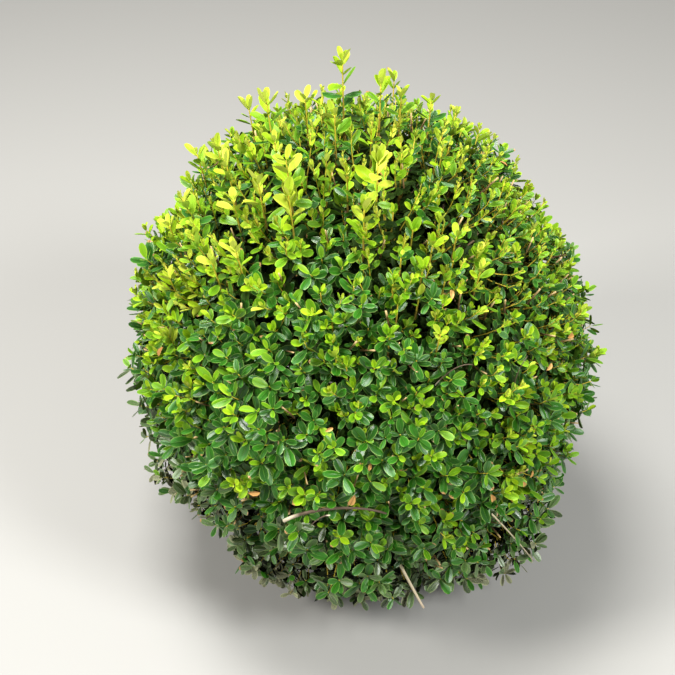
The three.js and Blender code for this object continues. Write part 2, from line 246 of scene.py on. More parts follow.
# Tubes along many curves at once: a ring of points at each step, closed by a fan at both ends
def tubeArrays(curves, thick, thin, steps, sides):
    n = len(curves[0])
    thick, thin = np.zeros(n) + thick, np.zeros(n) + thin
    share = np.broadcast_to(np.linspace(0, 1, steps + 1), (n, steps + 1))
    spot, heading = bend(curves, share)
    upright = np.abs(heading[..., 2:3]) > tubeMap["upright"]
    helper = np.where(upright, [[[1.0, 0, 0]]], [[[0, 0, 1.0]]])
    across = unit(np.cross(heading, helper))
    beside = np.cross(heading, across)
    turn = np.arange(sides) * 2 * math.pi / sides
    radius = (thick[:, None] + (thin - thick)[:, None] * share)[..., None, None]
    ring = across[:, :, None] * np.cos(turn)[:, None] + beside[:, :, None] * np.sin(turn)[:, None]
    points = spot[:, :, None] + radius * ring
    k = np.arange(1, sides - 1)
    last = steps * sides
    caps = np.concatenate([np.stack([0 * k, k + 1, k], -1),
                           np.stack([last + 0 * k, last + k, last + k + 1], -1)])
    faces = np.concatenate([ringWalls(steps + 1, sides), caps])
    perTube = (steps + 1) * sides
    triangles = (faces[None] + (np.arange(n) * perTube)[:, None, None]).reshape(-1, 3)
    # the tube's length runs along the strip, and its turn goes across and back
    along = np.repeat(np.linspace(tubeMap["end"], 1 - tubeMap["end"], steps + 1), sides)
    halfTurn = np.abs(np.arange(sides) / sides - 0.5)
    around = np.tile(halfTurn * (2 - 4 * tubeMap["side"]) + tubeMap["side"], steps + 1)
    uv = np.stack([along, around], -1)[faces]
    return points.reshape(-1, 3), triangles, np.broadcast_to(uv, (n,) + uv.shape).reshape(-1, 2)


# Each bundle is curves, both radii, steps and sides
def tubePiece(name, bundles):
    points, triangles, maps, count = [], [], [], 0
    for bundle in bundles:
        p, t, uv = tubeArrays(*bundle)
        points.append(p)
        triangles.append(t + count)
        maps.append(uv)
        count += len(p)
    return makeMesh(name, np.concatenate(points), np.concatenate(triangles), np.concatenate(maps))


# The skeleton: boughs, branches, twigs and shoots; lengths in metres, spreads in degrees
wood = {
    "stemLean": 0.005, "forkHeight": 0.062, "forkReach": 0.006, "forkStub": 0.016, "cavity": 0.104,
    "massStub": 0.007, "boughRadius": 0.006, "boughTip": 0.0036, "boughRise": 1.15, "boughEndRise": 0.75,
    "branches": 98, "branchNudge": 0.2, "branchLowest": -0.86, "branchShare": 0.62, "branchRadius": 0.0026,
    "branchLift": 0.4, "branchSway": 0.12, "branchEnd": 1.1,
    "twigs": 520, "twigNudge": 0.22, "twigLowest": -0.88, "twigDepth": 0.074, "twigFloor": 0.035,
    "twigRadius": 0.0015, "twigTip": 0.0010, "twigLift": 0.6, "twigSway": 0.15,
}
shoots = {
    "count": 2480, "nudge": 0.27, "lowest": -0.90, "lift": 1.5, "sway": 0.30,
    "dead": 0.18, "deadFrom": 0.2, "deadOver": 0.4, "deadStep": 0.7549,
    "depth": 0.0150, "depthSpread": 0.0060, "clumpDepth": 0.0030,
    "lowFrom": 0.15, "lowOver": 0.4, "lowGaps": 0.022, "widestGap": 1.5, "lowFull": 0.005,
    "inset": 0.006, "floor": 0.014, "floorSpread": 0.02,
    "radius": 0.00085, "tipRadius": 0.00045,
    "places": [0.0004, 0.0032, 0.0076, 0.0132, 0.0196, 0.0265, 0.0345, 0.0440, 0.0550],
    "kept": [1, 1, 1, 1, 1, 1, 0.9, 0.8, 0.7], "closer": 0.8, "footShare": 0.04,
    "stretch": 0.16, "habitRange": (-1, 2),
    "tipSpread": 34, "spreadStep": 9, "narrowest": 16, "widest": 72,
    "tipSize": 0.70, "sizeStep": 0.20, "smallest": 0.34, "largest": 1.02, "vigourStep": 0.6,
}

fork = np.array([wood["stemLean"], wood["stemLean"] / 2, wood["forkHeight"]])


# Each bough runs from the fork out and up into its mass, on the solids' own curve
def boughCurves():
    out = compass(np.concatenate([[0], massTurns]), np.zeros(7))
    side = (np.arange(7) > 0)[:, None]
    start = fork + out * side * wood["forkReach"] - up * wood["forkStub"] / 2
    leave = unit(np.where(side, out + up * wood["boughRise"], up))
    arrive = unit(np.where(side, massAxes + up * wood["boughEndRise"], up))
    end = middle + massAxes * wood["cavity"] + arrive * 2 * wood["massStub"]
    return start, end, leave, arrive


# The nearest parent by direction, in the same mass: any other scores less than a cosine can
def nearestOf(ways, masses, parents, parentMasses):
    score = ways @ parents.T
    score[masses[:, None] != parentMasses[None]] = -2
    return np.argmax(score, axis=1)


# Points a depth below the crown's face, or above it where that is negative, and none under a height
def below(ways, depth, floor=-1.0):
    spots = middle + ways * (crownReach(ways) - depth)[:, None]
    spots[:, 2] = np.maximum(spots[:, 2], floor)
    return spots


# Growth turns outward ways upward and sways at random
def growth(ways, lift, sway):
    return unit(ways + up * lift + dice.normal(0, sway, ways.shape))


boughs = boughCurves()
branchWays = goldenWays(wood["branches"], wood["branchNudge"], wood["branchLowest"])
branchMass = massOf(branchWays)
branchSpots = middle + branchWays * (crownReach(branchWays) * wood["branchShare"])[:, None]
branchHeads = growth(branchWays, wood["branchLift"], wood["branchSway"])
branches = (boughs[1][branchMass], branchSpots, boughs[3][branchMass], branchHeads)

twigWays = goldenWays(wood["twigs"], wood["twigNudge"], wood["twigLowest"])
twigMass = massOf(twigWays)
twigSpots = below(twigWays, wood["twigDepth"], wood["twigFloor"])
twigHeads = growth(twigWays, wood["twigLift"], wood["twigSway"])
twigParent = nearestOf(twigWays, twigMass, branchWays, branchMass)
twigs = (branchSpots[twigParent], twigSpots, branchHeads[twigParent], twigHeads)

shootWays = goldenWays(shoots["count"], shoots["nudge"], shoots["lowest"])
# low down, where little light falls, some have died away: the step's multiples spread evenly
share = shoots["dead"] * lowness(shootWays, shoots["deadFrom"], shoots["deadOver"])
dead = np.modf(np.arange(len(shootWays)) * shoots["deadStep"])[0] < share
shootWays = shootWays[~dead]
shootMass = massOf(shootWays)
shootParent = nearestOf(shootWays, shootMass, twigWays, twigMass)

# How strongly the crown is growing: azimuth, elevation and width in degrees, and by how much
growthPlaces = [
    (-150, 66, 38, 2.2), (-154, 30, 24, 1.3), (-108, 47, 17, -1.0), (-58, 43, 26, 0.9),
    (-114, 24, 8, 1.6), (-51, 9, 6, 5.2), (-36, 29, 16, 1.1), (-86, 62, 8, 1.3),
    (60, 50, 50, 1.6), (-75, 20, 14, -0.5), (-150, 62, 11, 0.8), (-128, 8, 16, -0.7),
    (-28, 62, 24, 0.9), (-12, 25, 20, 0.6), (-90, 78, 26, 0.6), (-129, 27, 15, -1.0),
    (-104, -6, 24, -0.8), (-78, 70, 12, 0.6), (-60, 64, 11, 1.9),
]
vigour = {"base": -1.16, "rise": 0.8, "twigs": 1.05, "spread": 0.8, "skirt": -0.04, "skirtOver": 0.3,
          "skirtFall": 1.8, "strong": 1, "most": 3, "outgrow": 0.006}


# A base that rises with height, the twig's own share, and a bell for each place, less low down
def vigourOf(ways, groups):
    found = vigour["base"] + vigour["rise"] * ways[:, 2] + groups
    found = withBells(found, ways, growthPlaces)
    return found - lowness(ways, vigour["skirt"], vigour["skirtOver"]) * vigour["skirtFall"]


twigVigour = dice.normal(0, vigour["twigs"], len(twigWays))
shootVigour = vigourOf(shootWays, twigVigour[shootParent])
shootVigour = shootVigour + dice.normal(0, vigour["spread"], len(shootWays))
shootHeads = growth(shootWays, shoots["lift"], shoots["sway"])
shootDepth = shoots["depth"] + dice.normal(0, shoots["depthSpread"], len(shootWays))
shootDepth = shootDepth + dice.normal(0, shoots["clumpDepth"], len(twigWays))[shootParent]
shootLow = lowness(shootWays, shoots["lowFrom"], shoots["lowOver"])
gaps = np.clip(dice.normal(0, 1, len(twigWays)), 0, shoots["widestGap"])[shootParent]
shootDepth = shootDepth + shootLow * (shoots["lowGaps"] * gaps - shoots["lowFull"])
shootDepth = shootDepth - crown["tufts"] * tuftHeight(shootWays)
shootTips = below(shootWays, shootDepth)
outgrown = np.clip(shootVigour - vigour["strong"], 0, vigour["most"]) * vigour["outgrow"]
shootTips = shootTips + shootHeads * outgrown[:, None]
shootTips[:, :2] = np.clip(shootTips[:, :2], boxLow[:2] + shoots["inset"], boxHigh[:2] - shoots["inset"])
tipFloor = shoots["floor"] + shoots["floorSpread"] * dice.random(len(shootTips))
shootTips[:, 2] = np.maximum(shootTips[:, 2], tipFloor)
crownShoots = (twigSpots[shootParent], shootTips, twigHeads[shootParent], shootHeads)

# The long shoots that have outgrown the clipping, and short ones that fill a thin place: azimuth,
# elevation, growth past the clipping in mm, how golden they are, and their leaves' length in mm
leaderList = np.array([
    (124, 82, 52, 2.6, 20), (45, 86, 37, 2.0, 16), (181, 71, 42, 3.2, 18), (-128, 66, 50, 3.6, 20),
    (-84, 67, 60, 4.2, 20), (-133, 49, 28, 3.2, 16), (185, 59, 28, 3.2, 16), (78, 58, 30, 1.8, 16),
    (-90, 62, 34, 4.2, 20), (168, 78, 26, 2.8, 16), (-122, 62, 36, 4.4, 20), (-100, 71, 24, 3.0, 15),
    (150, 60, 26, 2.6, 15), (-139, 44, 30, 3.6, 17), (-150, 70, 30, 2.8, 16), (-160, 60, 30, 3.2, 16),
    (-136, 82, 30, 2.6, 16), (170, 50, 26, 2.6, 15), (20, 76, 28, 2.0, 15), (-166, 41, 24, 3.2, 16),
    (-139, 62, 30, 4.4, 19), (-146, 57, 24, 3.8, 16), (-68, 39, 12, 2.8, 14), (-50, 49, 12, 2.6, 15),
    (-48, -8, 12, 3.2, 15), (30, 82, 26, 2.2, 16), (-150, 22, 14, 3.0, 16), (-156, 34, 18, 3.2, 16),
    (-76, 66, 6, 0.8, 15), (-69, 62, 5, 0.2, 15), (-63, 58, 6, 1.0, 15), (-76, 57, 4, -0.4, 15),
    (-69, 54, 5, 0.6, 15), (-62, 51, 4, -0.2, 15), (-56, 62, 6, 1.4, 14), (-80, 52, 4, 0.0, 15),
    (-72, 49, 4, 0.8, 15), (-52, 58, 5, 0.8, 14), (-47, 53, 4, 1.4, 13), (-57, 54, 4, 0.2, 14),
    (-76, 51, 3, 0.2, 15), (-79, 48, 3, 0.6, 15), (-65, 46, 3, 0.4, 14), (-93, 52, 3, 0.4, 15),
    (-82, 42, 3, 0.3, 14), (-99, 45, 3, 0.2, 16), (-97, 37, 3, 0.0, 16), (-94, 35, 3, 0.4, 16),
    (-60, 36, 3, 0.2, 14),
], dtype=float)
leaders = {
    "lift": 2.4, "depth": 0.035, "clippedLength": 0.029, "radius": 0.0010, "tipRadius": 0.0006,
    "leastPairs": 3, "firstPair": 0.0004, "gap": 0.38, "widening": 1.1, "tipTuck": 0.5,
    "habit": 1.0, "tipSize": 0.92, "seed": 3,
}
leaderWays = compass(leaderList[:, 0], leaderList[:, 1])
leaderHeads = unit(leaderWays + up * leaders["lift"])
leaderFeet = below(leaderWays, leaders["depth"])
leaderTips = leaderFeet + leaderHeads * (leaders["clippedLength"] + leaderList[:, 2:3] / 1000)
leadShoots = (leaderFeet, leaderTips, leaderHeads, leaderHeads)
print("skeleton:", len(branchWays), "branches,", len(twigWays), "twigs,", len(shootWays), "shoots")

# The leaves: length and stalk in metres, turns in degrees, the rest as shares of the length or width
leaf = {
    "length": 0.0160, "stalk": 0.0006, "width": 0.46, "thickness": 0.035,
    "matureFold": -0.10, "youngFold": 0.34, "matureCurl": 0.13, "youngCurl": -0.15,
    "widthJitter": 0.08, "foldJitter": 0.09, "curlJitter": 0.06,
    "sizeJitter": 0.19, "sizeRange": (-0.4, 0.22), "shootSize": 0.15, "shootSizeRange": (-0.3, 0.2),
    "finer": 0.24, "finestAt": (-20, 55), "finerFocus": 3, "lower": 0.20, "lowerOver": 0.6,
    "turnJitter": 13, "spreadJitter": 11, "rollJitter": 21, "facing": 0.12, "skyward": 0.55,
    "ageing": 1.25, "rankAge": 1.5, "ageJitter": 0.55, "youngAge": 1.7,
    "tiles": 6, "tileEnd": 0.03, "tileSide": 0.05,
}

# One leaf: ten points round the rim from its foot, two on the midrib above and two below
rimAlong = [0, 0.16, 0.45, 0.75, 0.93, 0.985]
rimAcross = [0, 0.25, 0.47, 0.46, 0.27, 0]
leafAlong = np.array(rimAlong + rimAlong[4:0:-1] + [0.34, 0.72, 0.34, 0.72])
leafAcross = np.array(rimAcross + [-v for v in rimAcross[4:0:-1]] + [0, 0, 0, 0])
leafBelow = np.array([0.0] * 12 + [1.0, 1.0])
rightHalf = [(0, 1, 10), (1, 2, 10), (2, 11, 10), (2, 3, 11), (3, 4, 11), (4, 5, 11)]
leftHalf = [(0, 10, 9), (9, 10, 8), (8, 10, 11), (8, 11, 7), (7, 11, 6), (6, 11, 5)]
topFaces = [(a, c, b) for a, b, c in rightHalf + leftHalf]
underside = {10: 12, 11: 13}
backFaces = [tuple(underside.get(i, i) for i in (a, c, b)) for a, b, c in topFaces]
leafFaces = np.array(topFaces + backFaces)
leafSharp = [(i, (i + 1) % 10) for i in range(10)] + [(0, 10), (10, 11), (11, 5)]

# The leaves inside the crown, and the pairs far down each shoot, are plainer: six points round the
# rim, one above and one below
plainAlong = np.array([0, 0.3, 0.72, 0.965, 0.72, 0.3, 0.5, 0.5])
plainAcross = np.array([0, 0.40, 0.43, 0, -0.43, -0.40, 0, 0])
plainBelow = np.array([0.0] * 7 + [1.0])
plainRim = [(i, (i + 1) % 6) for i in range(6)]
plainFaces = np.array([(b, a, 6) for a, b in plainRim] + [(a, b, 7) for a, b in plainRim])
plainSharp = plainRim + [(0, 6), (6, 3)]


# On the map the rim lies along both long sides of the leaf's tile, and the midrib down its middle
def tileMap(along, across, faces):
    end, side = leaf["tileEnd"], leaf["tileSide"]
    rim = np.where(np.abs(across) > 0, 0.5 + (0.5 - side) * np.sign(across), 0.5)
    return np.stack([end + (1 - 2 * end) * along, rim], -1)[faces]


# Each piece holds at most so many leaves, to stay under 200,000 triangles
fullLeaf = dict(along=leafAlong, across=leafAcross, below=leafBelow, faces=leafFaces, sharp=leafSharp,
                most=8200)
plainLeaf = dict(along=plainAlong, across=plainAcross, below=plainBelow, faces=plainFaces,
                 sharp=plainSharp, most=16000)


# Each leaf's points: along its own line, across it, raised to both sides of the midrib by the fold,
# and bent back by the square of the way along; its back takes the last row of the map's tiles
def leafPiece(name, leaves, shape):
    n, perLeaf = len(leaves["foot"]), len(shape["along"])
    along, face = leaves["along"], leaves["face"]
    across = np.cross(along, face)
    size = leaves["size"][:, None, None]
    wide = leaves["wide"][:, None]
    u, v = shape["along"], shape["across"]
    high = leaves["fold"][:, None] * wide * np.abs(v) * 2 - leaf["thickness"] * shape["below"]
    high = high - leaves["curl"][:, None] * u ** 2
    points = leaves["foot"][:, None] + size * (
        u[None, :, None] * along[:, None] + (v * wide)[..., None] * across[:, None]
        + high[..., None] * face[:, None])
    triangles = (shape["faces"][None] + (np.arange(n) * perLeaf)[:, None, None]).reshape(-1, 3)
    place = tileMap(u, v, shape["faces"])
    columns, last = leaf["tiles"], leaf["tiles"] - 1
    tile = dice.integers(0, columns * last, n)
    corner = np.stack([tile % columns, tile // columns], -1)[:, None, None]
    backCorner = np.stack([tile % columns, 0 * tile + last], -1)[:, None, None]
    half = len(shape["faces"]) // 2
    uv = np.concatenate([place[None, :half] + corner, place[None, half:] + backCorner], 1) / leaf["tiles"]
    return makeMesh(name, points.reshape(-1, 3), triangles, uv.reshape(-1, 2), shape["sharp"], perLeaf)


slanted = np.array([0.21, 0.34, 0.92])  # a helper that hardly any shoot is in line with


def jitter(name, shape):
    return dice.normal(0, leaf[name], shape)


# Opposite leaves on curved shoots: every pair a quarter turn from the last, small, upright and folded
# while young, and leaning out further down
def leavesOn(curves, ways, places, kept, length, strength, habit, tipSize=shoots["tipSize"]):
    n, pairs = len(ways), len(kept)
    span = np.linalg.norm(curves[1] - curves[0], axis=-1)
    k = np.arange(pairs)
    stretch = 1 + shoots["stretch"] * np.clip(habit, *shoots["habitRange"])[:, None]
    share = np.clip(1 - places * stretch / span[:, None], shoots["footShare"], 1)
    spot, heading = bend(curves, share)
    helper = unit(np.cross(heading, slanted))
    other = np.cross(heading, helper)
    turn = dice.uniform(0, math.pi, n)[:, None] + k * math.pi / 2
    turn = turn[..., None] + np.array([0, math.pi])
    turn = turn + np.radians(jitter("turnJitter", turn.shape))
    out = helper[:, :, None] * np.cos(turn)[..., None] + other[:, :, None] * np.sin(turn)[..., None]
    grown = (k[None] - shoots["vigourStep"] * habit[:, None])[..., None]
    spread = shoots["tipSpread"] + shoots["spreadStep"] * grown
    spread = np.clip(spread, shoots["narrowest"], shoots["widest"])
    tilt = np.radians(spread + jitter("spreadJitter", turn.shape))
    along = unit(heading[:, :, None] * np.cos(tilt)[..., None] + out * np.sin(tilt)[..., None])
    # the blade faces its shoot's tip, and twists towards the open air
    openAir = ways[:, None, None] + leaf["skyward"] * up
    face = heading[:, :, None] * np.sin(tilt)[..., None] - out * np.cos(tilt)[..., None]
    roll = dice.normal(0, np.radians(leaf["rollJitter"]), along.shape)
    face = unit(face) + leaf["facing"] * openAir + roll
    face = unit(face - along * np.sum(face * along, -1, keepdims=True))
    size = np.clip(tipSize + shoots["sizeStep"] * grown, shoots["smallest"], shoots["largest"])
    size = size * length * (1 + np.clip(jitter("sizeJitter", turn.shape), *leaf["sizeRange"]))
    age = (leaf["rankAge"] * k[None] - leaf["ageing"] * strength[:, None])[..., None]
    age = age + jitter("ageJitter", turn.shape)
    young = np.clip(leaf["youngAge"] - age, 0, 1)
    found = {
        "foot": spot[:, :, None] + along * leaf["stalk"], "along": along, "face": face, "size": size,
        "wide": leaf["width"] * (1 + jitter("widthJitter", turn.shape)),
        "fold": leaf["matureFold"] + leaf["youngFold"] * young + jitter("foldJitter", turn.shape),
        "curl": leaf["matureCurl"] + leaf["youngCurl"] * young + jitter("curlJitter", turn.shape),
        "age": age, "height": spot[:, :, None, 2] + 0 * turn, "rank": k[None, :, None] + 0 * turn,
        "leftward": 0 * turn - ways[:, None, None, 0],
    }
    chosen = dice.random(turn.shape) < np.array(kept)[None, :, None]
    return {key: value[chosen] for key, value in found.items()}


# Leaves are kept as arrays by key: pick takes some of them, joined puts groups of them together
def pick(leaves, chosen):
    return {key: value[chosen] for key, value in leaves.items()}


def joined(groups, keys):
    return {key: np.concatenate([found[key] for found in groups]) for key in keys}


# Leaves are finer on the right of the crown, where the shears have kept it closest, and low down
def leafLength(ways):
    closest = np.clip(ways @ compass(*leaf["finestAt"]), 0, 1) ** leaf["finerFocus"]
    low = lowness(ways, 0, leaf["lowerOver"])
    own = 1 + np.clip(jitter("shootSize", len(ways)), *leaf["shootSizeRange"])
    return (leaf["length"] * own * (1 - leaf["finer"] * closest - leaf["lower"] * low))[:, None, None]


lengths = leafLength(shootWays)
shootPlaces = np.array(shoots["places"]) * (lengths[:, 0] / leaf["length"]) ** shoots["closer"]
crownLeaves = leavesOn(crownShoots, shootWays, shootPlaces, shoots["kept"], lengths, shootVigour,
                       shootVigour)
leaderLeaves = []
dice = np.random.default_rng(leaders["seed"])
for i in range(len(leaderList)):
    long = leaderList[i, 4] / 1000
    gap = leaders["gap"] * long
    pairs = leaders["leastPairs"] + int(leaderList[i, 2] / 1000 / gap)
    one = slice(i, i + 1)
    curves = [row[one] for row in leadShoots]
    rank = np.arange(pairs)
    steps = rank ** leaders["widening"] - leaders["tipTuck"] * (rank > 0)
    places = leaders["firstPair"] + gap * steps
    leaderLeaves.append(leavesOn(curves, leaderWays[one], places, np.ones(pairs), long,
                                 leaderList[one, 3], np.array([leaders["habit"]]), leaders["tipSize"]))
allLeaves = joined([crownLeaves] + leaderLeaves, crownLeaves)

# Faded leaves lodged in the crown's face: azimuth, elevation, turn from upright, length in mm
fadedList = np.array([
    (-91, 11, 200, 14), (-60, 5, 160, 13), (-41, 28, 80, 11), (-147, 28, 190, 13), (-115, 6.5, 70, 13),
    (9, 59, 30, 9), (-63, 50, 20, 10), (-98, 26, 60, 8), (-88, 17, 10, 8), (-30, 30, 100, 13),
    (100, 20, 60, 13), (40, 35, 120, 13), (150, 15, 20, 13), (-51, 4, 160, 10), (-48, 5.5, 200, 9),
], dtype=float)
faded = {"depth": 0.001, "wide": 0.46, "fold": 0.35, "curl": 0.12}


def fadedLeaves():
    ways = compass(fadedList[:, 0], fadedList[:, 1])
    side = unit(np.cross(up, ways))
    rise = np.cross(ways, side)
    turn = np.radians(fadedList[:, 2:3])
    along = rise * np.cos(turn) + side * np.sin(turn)
    found = {key: np.full(len(ways), faded[key]) for key in ("wide", "fold", "curl")}
    return dict(found, foot=below(ways, faded["depth"]), along=along, face=ways,
                size=fadedList[:, 3] / 1000)


# Inside the crown: spurs off the branches, which reach nearer its face low down, and old leaves along
# spurs, twigs and branches
inner = {
    "spurs": 620, "nudge": 0.37, "lowest": -0.88, "depth": 0.060, "lowRise": 0.022, "lowFrom": 0.05,
    "lowOver": 0.5, "floor": 0.03, "lift": 0.3, "sway": 0.3, "seed": 5,
    "twigPairs": 11, "branchPairs": 17, "spurPairs": 9, "firstPair": 0.002, "gap": 0.0062,
    "kept": 0.96, "size": 1.25, "strength": -2.0, "habit": -1.5,
}
dice = np.random.default_rng(inner["seed"])
spurWays = goldenWays(inner["spurs"], inner["nudge"], inner["lowest"])
spurParent = nearestOf(spurWays, massOf(spurWays), branchWays, branchMass)
spurRise = inner["lowRise"] * lowness(spurWays, inner["lowFrom"], inner["lowOver"])
spurEnds = below(spurWays, inner["depth"] - spurRise, inner["floor"])
spurHeads = growth(spurWays, inner["lift"], inner["sway"])
spurs = (branchSpots[spurParent], spurEnds, branchHeads[spurParent], spurHeads)


def oldLeaves(curves, ways, pairs):
    places = inner["firstPair"] + inner["gap"] * np.arange(pairs)
    return leavesOn(curves, ways, places, np.full(pairs, inner["kept"]), leafLength(ways) * inner["size"],
                    np.full(len(ways), inner["strength"]), np.full(len(ways), inner["habit"]))


innerLeaves = [
    oldLeaves(twigs, twigWays, inner["twigPairs"]),
    oldLeaves(branches, branchWays, inner["branchPairs"]),
    oldLeaves(spurs, spurWays, inner["spurPairs"]),
]
print("leaves:", len(allLeaves["size"]), "and", sum(len(found["size"]) for found in innerLeaves), "inside")


# A colour as a screen shows it, 0 to 255, made the linear values that a shader takes
def colour(red, green, blue):
    c = np.array([red, green, blue]) / 255
    return tuple(np.where(c < 0.04045, c / 12.92, ((c + 0.055) / 1.055) ** 2.4)) + (1.0,)


def link(tree, source, target):
    tree.links.new(source, target)


def mathNode(tree, kind, a, b=None, c=None, clamp=False):
    node = tree.nodes.new("ShaderNodeMath")
    node.operation, node.use_clamp = kind, clamp
    for socket, value in zip(node.inputs, (a, b, c)):
        if isinstance(value, (int, float)):
            socket.default_value = value
        elif value is not None:
            link(tree, value, socket)
    return node.outputs[0]


def mixNode(tree, factor, a, b):
    node = tree.nodes.new("ShaderNodeMix")
    node.data_type = "RGBA"
    for socket, value in ((node.inputs[0], factor), (node.inputs[6], a), (node.inputs[7], b)):
        if hasattr(value, "is_linked"):
            link(tree, value, socket)
        else:
            socket.default_value = value
    return node.outputs[2]


def noiseNode(tree, place, scale, detail=2):
    node = tree.nodes.new("ShaderNodeTexNoise")
    node.inputs["Scale"].default_value = scale
    node.inputs["Detail"].default_value = detail
    link(tree, place, node.inputs["Vector"])
    return node.outputs["Fac"]


# A share of the slope of a height, whose distance is in metres, turns the shader's normal
def bumpNode(tree, shader, height, strength, distance):
    bump = tree.nodes.new("ShaderNodeBump")
    bump.inputs["Strength"].default_value = strength
    bump.inputs["Distance"].default_value = distance
    link(tree, height, bump.inputs["Height"])
    link(tree, bump.outputs[0], shader.inputs["Normal"])


# Places along and across a leaf are shares of its map tile, sharpness is how fast an edge sets in
markShape = {
    "ribWidth": 0.07, "ribEnd": 1.15, "rimFrom": 0.365, "rimSharpness": 12, "veins": 62, "veinSlant": 0.5,
    "scarred": 0.9, "scarWaves": 17, "scarDepth": 0.03, "scarFrom": 0.84, "scarSharpness": 25,
    "shadedHeartWidth": 2.6, "shadedHeartEnd": 1.25, "bowWidth": 2.2, "footLength": 2.2,
    "speckScale": 70, "speckDetail": 3, "speckFrom": 0.46, "speckSharpness": 7,
}


# The marks of a leaf from its place on the map: its midrib, rim, side veins, own tint, back, pale foot,
# a heart darkened along the midrib as painted shade, scarred tip, the bulge of its halves,
# and specks of dust
def leafMarksGroup():
    m = markShape
    group = bpy.data.node_groups.new("leafMarks", "ShaderNodeTree")
    group.interface.new_socket("Map", in_out="INPUT", socket_type="NodeSocketVector")
    given = group.nodes.new("NodeGroupInput")

    def minus(a, b, clamp=False):
        return mathNode(group, "SUBTRACT", a, b, clamp=clamp)

    def times(a, b, clamp=False):
        return mathNode(group, "MULTIPLY", a, b, clamp=clamp)

    scaled = group.nodes.new("ShaderNodeVectorMath")
    scaled.operation = "SCALE"
    scaled.inputs["Scale"].default_value = leaf["tiles"]
    link(group, given.outputs[0], scaled.inputs[0])
    split = group.nodes.new("ShaderNodeSeparateXYZ")
    link(group, scaled.outputs[0], split.inputs[0])
    along = mathNode(group, "FRACT", split.outputs[0])
    across = mathNode(group, "FRACT", split.outputs[1])
    side = mathNode(group, "ABSOLUTE", minus(across, 0.5))
    ribWidth = times(minus(along, m["ribEnd"]), -m["ribWidth"])
    slant = minus(along, times(side, m["veinSlant"]))
    veins = mathNode(group, "SINE", times(slant, m["veins"]))
    # each tile of the map has its own tint and its own chance of a scar
    tile = group.nodes.new("ShaderNodeVectorMath")
    tile.operation = "FLOOR"
    link(group, scaled.outputs[0], tile.inputs[0])
    noise = group.nodes.new("ShaderNodeTexWhiteNoise")
    noise.noise_dimensions = "2D"
    link(group, tile.outputs[0], noise.inputs["Vector"])
    chance = group.nodes.new("ShaderNodeSeparateColor")
    link(group, noise.outputs["Color"], chance.inputs[0])
    scarred = mathNode(group, "GREATER_THAN", chance.outputs[1], m["scarred"])
    ragged = mathNode(group, "SINE", times(across, m["scarWaves"]))
    ragged = mathNode(group, "MULTIPLY_ADD", ragged, m["scarDepth"], m["scarFrom"])
    scar = times(minus(along, ragged), m["scarSharpness"], clamp=True)
    # painted shade: the heart darkens both sides of the midrib, and less towards the tip
    shadedHeart = minus(1.0, times(side, m["shadedHeartWidth"]), clamp=True)
    # each half of the blade bulges a little between the midrib and the rim
    halves = minus(times(side, m["bowWidth"]), 0.5)
    grit = noiseNode(group, given.outputs[0], m["speckScale"], m["speckDetail"])
    marks = {
        "Rib": minus(1.0, mathNode(group, "DIVIDE", side, ribWidth), clamp=True),
        # the rim: on all but the faded kind a paler margin, brightened further as a painted highlight
        "Rim": times(minus(side, m["rimFrom"]), m["rimSharpness"], clamp=True),
        "Veins": mathNode(group, "MULTIPLY_ADD", veins, 0.5, 0.5),
        "Tint": noise.outputs["Value"],
        "Back": mathNode(group, "GREATER_THAN", split.outputs[1], leaf["tiles"] - 1.0),
        "Foot": minus(1.0, times(along, m["footLength"]), clamp=True),
        "ShadedHeart": times(shadedHeart, minus(m["shadedHeartEnd"], along), clamp=True),
        "Scar": times(scarred, scar),
        "Bow": minus(1.0, times(halves, halves)),
        "Specks": times(minus(grit, m["speckFrom"]), m["speckSharpness"], clamp=True),
    }
    for label in marks:
        group.interface.new_socket(label, in_out="OUTPUT", socket_type="NodeSocketFloat")
    result = group.nodes.new("NodeGroupOutput")
    for label, value in marks.items():
        link(group, value, result.inputs[label])
    return group


leafMarks = leafMarksGroup()


def newMaterial(name, roughness, specular):
    material = bpy.data.materials.new(name)
    material.use_nodes = True
    shader = material.node_tree.nodes["Principled BSDF"]
    shader.inputs["Roughness"].default_value = roughness
    shader.inputs["Specular IOR Level"].default_value = specular
    return material, material.node_tree, shader


def mapNode(tree):
    node = tree.nodes.new("ShaderNodeUVMap")
    node.uv_map = "OFBake"
    return node.outputs[0]


# What all the leaves' finishes share
blade = {
    "veinShare": 0.10, "scar": (176, 132, 84), "dust": (170, 166, 140), "tintRough": 0.12,
    "backRough": 0.18, "veinHeight": 0.12, "bowHeight": 1.6, "ribHeight": 0.6,
    "bump": 0.6, "bumpDistance": 0.0005,
}
